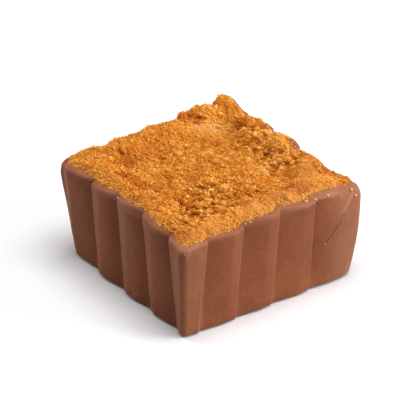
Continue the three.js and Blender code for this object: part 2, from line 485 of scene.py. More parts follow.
class Shader:
    """The nodes of one material, added one by one."""

    def __init__(self, name: str) -> None:
        """Start a material that has a surface and Object coordinates.

        Args:
            name: The name of the material.
        """
        self.material = bpy.data.materials.new(name)
        self.material.use_nodes = True
        self.tree = self.material.node_tree
        self.tree.nodes.clear()
        self.surface = self.node("ShaderNodeBsdfPrincipled")
        output = self.node("ShaderNodeOutputMaterial")
        self.join(self.surface.outputs["BSDF"], output.inputs["Surface"])
        self.place = self.node("ShaderNodeTexCoord").outputs["Object"]

    def node(self, kind: str, **settings: object) -> bpy.types.Node:
        """Add a node.

        Args:
            kind: The kind of node.
            **settings: The node's own properties.

        Returns:
            The node.
        """
        made = self.tree.nodes.new(kind)
        for key, value in settings.items():
            setattr(made, key, value)
        return made

    def join(self, source: bpy.types.NodeSocket, target: bpy.types.NodeSocket) -> None:
        """Link one socket to another."""
        self.tree.links.new(source, target)

    def grain(self, size: float, detail: float = 2.0) -> bpy.types.NodeSocket:
        """Return noise from 0 to 1.

        Args:
            size: How wide its patches are, in millimetres.
            detail: How finely they are broken up.

        Returns:
            The socket of the noise.
        """
        made = self.node("ShaderNodeTexNoise")
        made.inputs["Scale"].default_value = 1.0 / (size * MM)
        made.inputs["Detail"].default_value = detail
        self.join(self.place, made.inputs["Vector"])
        return made.outputs["Fac"]

    def patches(
        self, size: float, lowest: float, highest: float, detail: float = 2.0
    ) -> bpy.types.NodeSocket:
        """Return noise whose usual range is moved to the one from `lowest` to `highest`."""
        return self.span(self.grain(size, detail), NOISE_RANGE, (lowest, highest))

    def painted(self, name: str) -> bpy.types.NodeSocket:
        """Return the number that is painted on the piece under `name`."""
        return self.node("ShaderNodeAttribute", attribute_name=name).outputs["Fac"]

    def span(
        self,
        value: bpy.types.NodeSocket,
        source: tuple[float, float],
        target: tuple[float, float],
    ) -> bpy.types.NodeSocket:
        """Move a number from one range to another.

        Args:
            value: The number.
            source: The lowest and the highest value that it has.
            target: What these two become.

        Returns:
            The socket of the moved number.
        """
        made = self.node("ShaderNodeMapRange")
        names = ("From Min", "From Max", "To Min", "To Max")
        for name, number in zip(names, (*source, *target)):
            made.inputs[name].default_value = number
        self.join(value, made.inputs["Value"])
        return made.outputs["Result"]

    def sum(self, first: bpy.types.NodeSocket, *others: bpy.types.NodeSocket) -> bpy.types.NodeSocket:
        """Return the sum of several numbers.

        Args:
            first: The first number.
            *others: The numbers that are added to it.

        Returns:
            The socket of the sum.
        """
        total = first
        for value in others:
            made = self.node("ShaderNodeMath", operation="ADD")
            self.join(total, made.inputs[0])
            self.join(value, made.inputs[1])
            total = made.outputs[0]
        return total

    def ramp(self, value: bpy.types.NodeSocket, stops: tuple[Stop, ...]) -> bpy.types.NodeSocket:
        """Return the colour that a ramp gives for a number.

        Args:
            value: The number.
            stops: The ramp's places from 0 to 1, each with its colour.

        Returns:
            The socket of the colour.
        """
        made = self.node("ShaderNodeValToRGB")
        elements = made.color_ramp.elements
        while len(elements) < len(stops):
            elements.new(0.5)
        for element, (position, colour) in zip(elements, stops):
            element.position = position
            element.color = (*colour, 1.0)
        self.join(value, made.inputs["Fac"])
        return made.outputs["Color"]

    def blend(
        self, share: bpy.types.NodeSocket, first: bpy.types.NodeSocket, second: Colour
    ) -> bpy.types.NodeSocket:
        """Mix two colours.

        Args:
            share: How much of the second colour there is, from 0 to 1.
            first: The first colour.
            second: The second colour.

        Returns:
            The socket of the mixed colour.
        """
        made = self.node("ShaderNodeMix", data_type="RGBA")
        self.join(share, made.inputs["Factor"])
        self.join(first, made.inputs["A"])
        made.inputs["B"].default_value = (*second, 1.0)
        return made.outputs["Result"]

    def bump(self, height: bpy.types.NodeSocket, depth: float, strength: float = 0.6) -> None:
        """Give the surface a fine relief.

        Args:
            height: How high the relief stands, from 0 to 1.
            depth: How deep it is, in millimetres.
            strength: How much of it shows.
        """
        made = self.node("ShaderNodeBump")
        made.inputs["Distance"].default_value = depth * MM
        made.inputs["Strength"].default_value = strength
        self.join(height, made.inputs["Height"])
        self.join(made.outputs["Normal"], self.surface.inputs["Normal"])


@dataclass(frozen=True)
class ChocolateFinish:
    """Milk chocolate as it leaves its mould: satin, a little uneven, dusty at its edges, with painted
    sheen on its lips and creases and painted shade in the front-left creases.
    """

    name: str = "milk_chocolate"
    darker: Stop = (0.2, (0.184, 0.0570, 0.0250))
    lighter: Stop = (0.8, (0.231, 0.0740, 0.0325))
    # Colour of the painted shade in the creases of the front-left side.
    painted_crease_shade: Colour = (0.105, 0.031, 0.0135)
    # Colour of the dustiness, also used for the painted sheen on the lips and creases.
    dust_and_sheen: Colour = (0.40, 0.22, 0.15)
    cloud_size: float = 5.0
    cloud_share: float = 0.6
    fleck_size: float = 0.6
    fleck_share: float = 0.4
    dust_and_sheen_cover: float = 0.6
    dust_and_sheen_roughness: float = 0.25
    sheen_size: float = 2.5
    smoothest: float = 0.34
    roughest: float = 0.5
    gloss: float = 0.05
    wave_size: float = 0.9
    pit_size: float = 0.25
    relief_depth: float = 0.02

    def material(self) -> bpy.types.Material:
        """Build the chocolate's material.

        Returns:
            The material, which reads the numbers "dust" and "hollow" painted on the piece: dustiness
            with painted sheen added, and painted shade in the creases.
        """
        shader = Shader(self.name)
        patches = shader.sum(
            shader.patches(self.cloud_size, 0.0, self.cloud_share),
            shader.patches(self.fleck_size, 0.0, self.fleck_share),
        )
        body = shader.ramp(patches, (self.darker, self.lighter))
        # Painted shade: the base colour is darkened towards the creases of the front-left side.
        shaded = shader.blend(shader.painted("painted_crease_shade"), body, self.painted_crease_shade)
        # This painted number holds real dustiness and painted sheen: highlights on the lips,
        # reflections low in the creases, and a streak along the soft crease.
        dusty = shader.painted("dust_and_sheen")
        cover = shader.span(dusty, (0.0, 1.0), (0.0, self.dust_and_sheen_cover))
        shader.join(shader.blend(cover, shaded, self.dust_and_sheen), shader.surface.inputs["Base Color"])
        roughness = shader.sum(
            shader.patches(self.sheen_size, self.smoothest, self.roughest),
            shader.span(dusty, (0.0, 1.0), (0.0, self.dust_and_sheen_roughness)),
        )
        shader.join(roughness, shader.surface.inputs["Roughness"])
        shader.surface.inputs["Specular IOR Level"].default_value = self.gloss
        relief = shader.sum(shader.grain(self.wave_size, FINE_DETAIL), shader.grain(self.pit_size))
        shader.bump(relief, self.relief_depth)
        return shader.material


@dataclass(frozen=True)
class CrumbFinish:
    """Baked biscuit crumb: dull and golden, pale where it is dusty, with painted shade making it
    browner in its depths and painted light on its tops.
    """

    name: str
    deep: Stop = (0.0, (0.29, 0.068, 0.007))
    brown: Stop = (0.3, (0.52, 0.180, 0.020))
    golden: Stop = (0.65, (0.66, 0.295, 0.048))
    pale: Stop = (1.0, (0.72, 0.380, 0.105))
    floury: Colour = (0.70, 0.50, 0.30)
    cloud_size: float = 3.0
    cloud_tone: float = 0.1
    speck_size: float = 0.22
    speck_tone: float = 0.14
    roughness: float = 0.85
    gloss: float = 0.04
    glow: float = 0.35
    glow_colour: Colour = (1.0, 0.45, 0.15)
    glow_depth: float = 0.25
    pit_size: float = 0.12
    relief_depth: float = 0.03

    def material(self) -> bpy.types.Material:
        """Build the crumb's material.

        Returns:
            The material, which reads the numbers "tone" and "flour" that are painted on the piece.
        """
        shader = Shader(self.name)
        tone = shader.sum(
            shader.painted("tone"),
            shader.patches(self.cloud_size, -self.cloud_tone, self.cloud_tone),
            shader.patches(self.speck_size, -self.speck_tone, self.speck_tone, FINE_DETAIL),
        )
        baked = shader.ramp(tone, (self.deep, self.brown, self.golden, self.pale))
        colour = shader.blend(shader.painted("flour"), baked, self.floury)
        shader.join(colour, shader.surface.inputs["Base Color"])
        for name, value in (
            ("Roughness", self.roughness),
            ("Specular IOR Level", self.gloss),
            ("Subsurface Weight", self.glow),
            ("Subsurface Radius", self.glow_colour),
            ("Subsurface Scale", self.glow_depth * MM),
        ):
            shader.surface.inputs[name].default_value = value
        shader.bump(shader.grain(self.pit_size, FINE_DETAIL), self.relief_depth)
        return shader.material


# ----------------------------------------------------------------------------------------- case


@dataclass(frozen=True)
class WallMark:
    """A mark on the wall, such as a scratch, a bead, a ring or a streak, in millimetres.

    `path` is the line of points that it follows, `radius` is half its width, and `depth` is how
    far it is pressed in, or raised where that is below 0. `dust_and_sheen` is how dusty it is, from 0 to 1.
    """

    path: tuple[Point, ...]
    radius: float
    depth: float
    dust_and_sheen: float = 0.0

    def on_surface(self, piece: bpy.types.Object) -> WallMark:
        """Return the mark with its line laid onto the surface of a piece."""
        return replace(self, path=tuple(laid_on(piece, point, 0.0) for point in self.path))

    def distance(self, points: np.ndarray) -> np.ndarray:
        """Measure how far points lie from the mark's line.

        Args:
            points: An array of [x, y, z] points, in millimetres.

        Returns:
            The distances, in millimetres.
        """
        nearest = np.full(len(points), np.inf)
        line = np.array(self.path, float)
        if len(line) == 1:
            return np.linalg.norm(points - line[0], axis=1)
        for start, end in zip(line[:-1], line[1:]):
            run = end - start
            share = np.clip(((points - start) @ run) / (run @ run), 0.0, 1.0)
            gap = np.linalg.norm(points - (start + share[:, None] * run), axis=1)
            nearest = np.minimum(nearest, gap)
        return nearest


def ring_path(middle: Point, radius: float, steps: int = 12) -> tuple[Point, ...]:
    """Return a ring of points that faces the front corner.

    Args:
        middle: The middle of the ring, in millimetres.
        radius: Its radius.
        steps: How many points it has.

    Returns:
        The points, with the first once more at the end.
    """
    x, y, z = middle
    path = []
    for step in range(steps + 1):
        turn = FULL_TURN * step / steps
        aside = radius * DIAGONAL * math.cos(turn)
        path.append((x + aside, y - aside, z + radius * math.sin(turn)))
    return tuple(path)


@dataclass(frozen=True)
class DustZone:
    """A part of the wall past a slanting plane, where the dust grows from none to its strength.

    `direction` is the way that the dust grows, and `start` and `full` are distances from the
    origin that way, in millimetres.
    """

    direction: Point
    start: float
    full: float
    strength: float = 1.0

    def share(self, points: np.ndarray) -> np.ndarray:
        """Return how dusty the zone makes points."""
        return self.strength * smooth(points @ np.array(self.direction), self.start, self.full)


@dataclass
class ChocolateCase:
    """The fluted cup: flat base, rounded edge, leaning wall, rounded shoulder, dished top.

    Sizes are in millimetres, and dust and shade are from 0 to 1. A pair of numbers is where
    something starts and where it is full. The corners' wear and swelling are shares of their
    distance from the middle, and the places of lips and creases are shares of the pitch.
    """

    shape: CupShape
    finish: ChocolateFinish = ChocolateFinish()
    base_rounding: float = 0.7
    shoulder_rounding: float = 0.5
    base_rings: int = 5
    wall_rings: int = 46
    shoulder_rings: int = 7
    top_insets: tuple[float, ...] = (1.1, 1.7, 2.4, 3.3, 4.4, 5.6, 7.2, 11.0)
    middle_inset: float = 2.0
    marks: tuple[WallMark, ...] = (
        WallMark(
            path=(
                (11.7, -14.5, 10.95),
                (11.3, -14.4, 10.2),
                (10.9, -14.35, 9.45),
                (10.3, -14.3, 8.6),
                (9.8, -14.2, 8.0),
                (9.3, -14.1, 7.5),
                (8.9, -14.0, 7.05),
            ),
            radius=0.1,
            depth=0.13,
        ),
        WallMark(path=((8.85, -13.9, 6.85),), radius=0.2, depth=-0.12, dust_and_sheen=0.4),
        WallMark(
            path=((13.6, -14.9, 13.6), (12.6, -14.9, 12.2), (11.8, -14.7, 11.1)),
            radius=0.4,
            depth=0.08,
            dust_and_sheen=0.75,
        ),
        WallMark(path=ring_path((-14.2, -14.9, 14.2), 0.5), radius=0.14, depth=-0.08, dust_and_sheen=0.4),
        WallMark(path=((-14.3, -14.9, 13.2),), radius=0.17, depth=-0.08, dust_and_sheen=0.4),
        WallMark(path=((11.3, -14.7, 13.7),), radius=0.32, depth=-0.1, dust_and_sheen=0.5),
        WallMark(path=((-13.4, -1.5, 1.3),), radius=0.35, depth=0.15, dust_and_sheen=0.5),
    )
    mark_reach: float = 3.0
    mark_margin: float = 0.2
    mark_cuts: int = 4
    worn_corners: tuple[Spot, ...] = (
        Spot(-15.0, 15.0, 6.5, 0.018),
        Spot(15.0, -15.0, 5.5, 0.03),
        Spot(-15.0, -15.0, 4.5, 0.022),
    )
    worn_from: float = 0.84
    swollen_corner: Spot = Spot(15.0, -15.0, 9.0, 0.018)
    soft_crease_depth: float = 0.32
    soft_crease_width: float = 0.55
    soft_crease_slant: float = 0.55
    soft_crease_rise: tuple[float, float] = (0.25, 0.85)
    soft_crease_side: tuple[float, float] = (0.85, 0.93)
    # Painted sheen along the soft crease beside the left corner.
    soft_crease_sheen: float = 0.35
    # Painted shade near the front-left creases: where it is full, where it ends, and how dark it is.
    crease_shade_full: float = 0.1
    crease_shade_end: float = 0.6
    hollow_shade: float = 0.5
    bloom_size: float = 2.2
    bloom_middle: float = 0.7
    bloom_spread: float = 0.9
    shoulder_bloom: DustZone = DustZone((0.0, 0.0, 1.0), 13.85, 14.45)
    shoulder_dust: float = 0.4
    rubbed_edge: tuple[DustZone, ...] = (
        DustZone((1.0, 0.0, 0.0), 2.0, 10.0, 0.4),
        DustZone((0.0, -1.0, 0.0), 12.0, 13.5),
    )
    front_corner_dust: tuple[DustZone, ...] = (
        DustZone((-1.0, 0.0, 0.0), 10.2, 10.8, 0.12),
        DustZone((0.0, -1.0, 0.0), 12.4, 13.2),
    )
    right_side_dust: DustZone = DustZone((1.0, -0.4, 0.0), 12.5, 18.0, 0.24)
    right_corner_dust: DustZone = DustZone((1.0, -0.4, 0.8), 29.0, 32.5, 0.3)
    # Painted highlight along the lips of each side: its strength, its place on the flute and its
    # width.
    lip_highlights: tuple[float, ...] = (0.14, 0.08, 0.08, 0.14)
    lip_place: float = 0.955
    lip_highlight_width: float = 0.022
    # Painted reflection low in the creases: where it grows, how strong it is, and how wide it is and
    # widens.
    low_crease_sheen: DustZone = DustZone((0.0, 0.0, -1.0), -6.0, -0.5)
    crease_sheen: float = 0.3
    crease_sheen_width: float = 0.03
    crease_sheen_growth: float = 0.1
    swells: tuple[tuple[str, float, float], ...] = (
        ("slow_swell", 6.0, 0.16),
        ("fine_swell", 1.6, 0.035),
    )
    flat_base: float = 0.01

    def _rings(self) -> list[np.ndarray]:
        """Lay out the cup as rings of points.

        Returns:
            The rings from the underside, round the outside, to the top, in millimetres.
        """
        rim = self.shape.outline(self.shape.rim)
        base = self.shape.outline(self.shape.base)
        height = self.shape.rim_height
        rim_heights = self.shape.rim_height_at(*rim.T)

        def wall(rise: float, inset: float) -> np.ndarray:
            """Return the ring at a share of the rim's height.

            Args:
                rise: The share, from 0 to 1.
                inset: How far the ring is moved in, in millimetres.

            Returns:
                Its points, in millimetres.
            """
            flat = (base + (rim - base) * rise) * (1.0 - inset / self.shape.top_half_width)
            worn = smooth(rise, self.worn_from, 1.0) ** 2 * strongest(self.worn_corners, *rim.T)
            swollen = math.sin(math.pi * rise) * self.swollen_corner.share(*rim.T)
            return np.column_stack([flat * (1.0 - worn + swollen)[:, None], rise * rim_heights])

        rings = []
        for turn in np.linspace(0.0, QUARTER_TURN, self.base_rings + 1):
            rise = self.base_rounding * (1.0 - math.cos(turn)) / height
            rings.append(wall(rise, self.base_rounding * (1.0 - math.sin(turn))))
        low = self.base_rounding / height
        high = 1.0 - self.shoulder_rounding / height
        rings += [wall(rise, 0.0) for rise in np.linspace(low, high, self.wall_rings + 1)[1:-1]]
        for turn in np.linspace(0.0, QUARTER_TURN, self.shoulder_rings + 1):
            drop = self.shoulder_rounding * (1.0 - math.sin(turn))
            inset = self.shoulder_rounding * (1.0 - math.cos(turn))
            rings.append(wall(1.0 - drop / height, inset))
        for inset in self.top_insets:
            flat = rim * (1.0 - inset / self.shape.top_half_width)
            dish = self.shape.dish(*flat.T, self.shape.case_dish_depth)
            rings.append(np.column_stack([flat, self.shape.rim_height_at(*flat.T) - dish]))
        return rings

    def _raise_wall(self) -> bpy.types.Object:
        """Draw the outline of the base and extrude it ring by ring up the wall and inwards.

        Returns:
            The closed cup, in object mode.
        """
        rings = self._rings()
        bpy.ops.object.select_all(action="DESELECT")
        bpy.ops.mesh.primitive_circle_add(
            vertices=len(rings[0]), radius=self.shape.top_half_width * MM, fill_type="NGON"
        )
        piece = start_piece("fluted_cup")
        mesh = bmesh.from_edit_mesh(piece.data)
        layer = mesh.verts.layers.int.new("column")
        for column, point in enumerate(mesh.verts):
            point[layer] = column
        self._shape_ring(piece, rings[0])
        bpy.ops.mesh.select_mode(type="EDGE")
        for lower, upper in zip(rings[:-1], rings[1:]):
            step = float(np.mean(upper[:, 2] - lower[:, 2])) * MM
            bpy.ops.mesh.extrude_edges_move(TRANSFORM_OT_translate={"value": (0.0, 0.0, step)})
            self._shape_ring(piece, upper)
        bpy.ops.mesh.edge_face_add()
        bpy.ops.mesh.inset(thickness=self.middle_inset * MM)
        bpy.ops.mesh.poke()
        close_piece(piece)
        return piece

    @staticmethod
    def _shape_ring(piece: bpy.types.Object, ring: np.ndarray) -> None:
        """Move each selected point to its place on a ring.

        Args:
            piece: The cup, in edit mode.
            ring: The ring's points in the order of the columns, in millimetres.
        """
        mesh = bmesh.from_edit_mesh(piece.data)
        layer = mesh.verts.layers.int["column"]
        for point in mesh.verts:
            if point.select:
                point.co = Vector(ring[point[layer]]) * MM
        bmesh.update_edit_mesh(piece.data)

    def _soften(self, piece: bpy.types.Object) -> np.ndarray:
        """Press the shallow crease beside the left corner into the wall.

        Args:
            piece: The cup.

        Returns:
            How strongly each point lies in the crease, from 0 to 1.
        """
        points = coordinates(piece)
        rise = np.clip(points[:, 2] / self.shape.rim_height, 0.0, 1.0)
        line = self.shape.rim.sides[Side.FRONT_LEFT]
        turn = np.array(Matrix.Rotation(QUARTER_TURN * Side.FRONT_LEFT, 2))
        along, out = (points[:, :2] @ turn).T
        crease = line.first - self.shape.rim.pitch + self.soft_crease_slant * (1.0 - rise)
        start, full = self.soft_crease_side
        on_side = smooth(-out, line.crease * start, line.crease * full)
        near = np.exp(-(((along - crease) / self.soft_crease_width) ** 2)) * on_side
        near = near * smooth(rise, *self.soft_crease_rise)
        outward = turn @ np.array([0.0, -1.0])
        points[:, :2] -= outward * (self.soft_crease_depth * near)[:, None]
        set_coordinates(piece, points)
        return near

    def _mark(self, piece: bpy.types.Object) -> np.ndarray:
        """Divide the wall at its marks more finely and press the marks in.

        Args:
            piece: The cup.

        Returns:
            How dusty the marks make each point, from 0 to 1.
        """
        marks = [mark.on_surface(piece) for mark in self.marks]
        bpy.ops.object.mode_set(mode="EDIT")
        bpy.ops.mesh.select_mode(type="FACE")
        bpy.ops.mesh.select_all(action="DESELECT")
        mesh = bmesh.from_edit_mesh(piece.data)
        middles = np.array([face.calc_center_median() for face in mesh.faces]) / MM
        close = np.zeros(len(middles), bool)
        for mark in marks:
            close |= mark.distance(middles) < self.mark_reach * mark.radius + self.mark_margin
        for face, chosen in zip(mesh.faces, close):
            face.select = bool(chosen)
        bmesh.update_edit_mesh(piece.data)
        bpy.ops.mesh.subdivide(number_cuts=self.mark_cuts)
        bpy.ops.object.mode_set(mode="OBJECT")
        points = coordinates(piece)
        normals = np.array([tuple(vertex.normal) for vertex in piece.data.vertices])
        dust_and_sheen = np.zeros(len(points))
        moved = points.copy()
        for mark in marks:
            strength = np.exp(-((mark.distance(points) / mark.radius) ** 2))
            moved -= normals * (mark.depth * strength)[:, None]
            dust_and_sheen = np.maximum(dust_and_sheen, mark.dust_and_sheen * strength)
        set_coordinates(piece, moved)
        return dust_and_sheen

    def _bloom_and_sheen(self, points: np.ndarray) -> np.ndarray:
        """Work out how dusty the wall is on its shoulder, with painted highlights along its lips and
        painted reflections low in its creases added.

        Args:
            points: Points of the cup, in millimetres.

        Returns:
            How dusty each one is, with the painted sheen added, from 0 up.
        """
        cloud = np.array([noise.noise(Vector(point) / self.bloom_size) for point in points])
        patchy = self.bloom_middle + self.bloom_spread * cloud
        rubbed = np.prod([zone.share(points) for zone in self.rubbed_edge], axis=0)
        dust_and_sheen = (self.shoulder_dust + rubbed) * patchy * self.shoulder_bloom.share(points)
        dust_and_sheen += np.prod([zone.share(points) for zone in self.front_corner_dust], axis=0)
        dust_and_sheen += self.right_side_dust.share(points) + self.right_corner_dust.share(points)
        low = self.low_crease_sheen.share(points)
        crease_width = self.crease_sheen_width + self.crease_sheen_growth * low
        for side, lip_highlight in zip(Side, self.lip_highlights):
            share = self.shape.from_crease(side, points)
            # Painted highlight: a light streak along each flute's lip.
            past_lip = (share - self.lip_place) / self.lip_highlight_width
            dust_and_sheen += lip_highlight * patchy * np.exp(-(past_lip**2))
            # Painted reflection: a pale haze low in each crease.
            in_crease = np.exp(-((share / crease_width) ** 2)) * (share >= 0.0)
            dust_and_sheen += self.crease_sheen * low * in_crease
        return dust_and_sheen

    def _unevenness(self, piece: bpy.types.Object) -> None:
        """Make the wall as uneven as chocolate from a soft mould, and keep the base flat.

        Args:
            piece: The cup.
        """
        resting = coordinates(piece)[:, 2] < self.flat_base
        for name, size, strength in self.swells:
            texture = bpy.data.textures.new(name, "CLOUDS")
            texture.noise_scale = size * MM
            apply_modifier(
                piece,
                "DISPLACE",
                texture=texture,
                strength=strength * MM,
                mid_level=0.5,
                texture_coords="LOCAL",
            )
        points = coordinates(piece)
        points[:, 2] = np.where(resting, 0.0, np.maximum(points[:, 2], 0.0))
        set_coordinates(piece, points)

    def build(self) -> bpy.types.Object:
        """Build the cup.

        Returns:
            The finished piece.
        """
        piece = self._raise_wall()
        soft = self._soften(piece)
        points = coordinates(piece)
        # Painted sheen: a light streak along the soft crease is added to the dustiness.
        dust_and_sheen = self._bloom_and_sheen(points) + self.soft_crease_sheen * soft
        paint(piece, "dust_and_sheen", np.clip(dust_and_sheen, 0.0, 1.0))
        # Paint shade into the colour near the creases of the front-left side.
        share = self.shape.from_crease(Side.FRONT_LEFT, points)
        painted_crease_shade = smooth(-share, -self.crease_shade_end, -self.crease_shade_full) * (share >= 0.0)
        paint(piece, "painted_crease_shade", self.hollow_shade * painted_crease_shade)
        marks = self._mark(piece)
        for row, value in zip(piece.data.attributes["dust_and_sheen"].data, marks):
            row.value = max(row.value, float(value))
        self._unevenness(piece)
        bpy.ops.object.shade_smooth()
        piece.data.materials.append(self.finish.material())
        hand_over(piece, CASE_NODE)
        return piece


# ---------------------------------------------------------------------------------------- crumb


class GrainKind(Enum):
    """The kinds of loose crumb that lie on the bed."""

    FINE = "fine_crumbs"
    MIDDLE = "middle_crumbs"
    COARSE = "coarse_crumbs"
    STRAY = "stray_crumbs"


@dataclass(frozen=True)
class GrainOdds:
    """How likely a crumb of one kind is to lie somewhere, from 0 to 1.

    To `anywhere`, `clumps` is added where the bed is clumpy, and `loose` is taken off where it
    lies loosely. `powder` and `pressing` are the shares that are lost where it is powdery and
    where it is pressed. `inset` is how far in from the rim the first crumbs lie, and from where
    there are as many as elsewhere.
    """

    anywhere: float = 1.0
    clumps: float = 0.0
    loose: float = 0.0
    powder: float = 0.0
    pressing: float = 0.0
    inset: tuple[float, float] | None = None


@dataclass(frozen=True)
class GrainSort:
    """How the crumbs of one kind are made and strewn, in millimetres.

    `radii` are the smallest and the largest. `roundness` is how finely they are divided, and
    `sink` is how far they sink in, as a share of the radius. `spacing` is the distance between
    them, and `overhang` is how far in from the edge they start.
    """

    kind: GrainKind
    radii: tuple[float, float]
    roundness: int
    seed: int
    sink: float = 0.0
    spacing: float = 0.0
    overhang: float = 0.0
    odds: GrainOdds = GrainOdds()


@dataclass(frozen=True)
class Grain:
    """One loose crumb: its place and radius in millimetres, its tone and how floury it is."""

    place: Point
    radius: float
    tone: float
    flour: float = 0.0


@dataclass(frozen=True)
class LumpLayer:
    """One size of lumps in the bed's relief, in millimetres.

    `least` is the share of the relief that stays where the bed is smooth.
    """

    width: float
    depth: float
    least: float
    gap_width: float = 0.3
    gap_height: float = 0.35
    steepness: float = 1.1
    swell_width: float = 2.2
    swell_share: float = 0.8
    swell_slice: float = 4.0

    def relief(self, x: np.ndarray, y: np.ndarray, rough: np.ndarray, cut: float) -> np.ndarray:
        """Return the relief of the lumps at points.

        Args:
            x: Where the points lie along X, in millimetres.
            y: Where they lie along Y.
            rough: How rough the bed is at each point, from 0 to 1.
            cut: The height at which the pattern of lumps is cut.

        Returns:
            The heights, in millimetres.
        """
        bumps = np.empty(len(x))
        for index, (a, b) in enumerate(zip(x, y)):
            distances, _ = noise.voronoi((a / self.width, b / self.width, cut))
            gap = min((distances[1] - distances[0]) / self.gap_width, 1.0)
            crown = 1.0 - min(self.steepness * distances[0], 1.0) ** 2
            bumps[index] = crown * raised(gap, self.gap_height)
        size = self.swell_width * self.width
        swell = np.array([noise.noise((a / size, b / size, self.swell_slice)) for a, b in zip(x, y)])
        return self.depth * raised(rough, self.least) * (bumps - 0.5 + self.swell_share * swell)


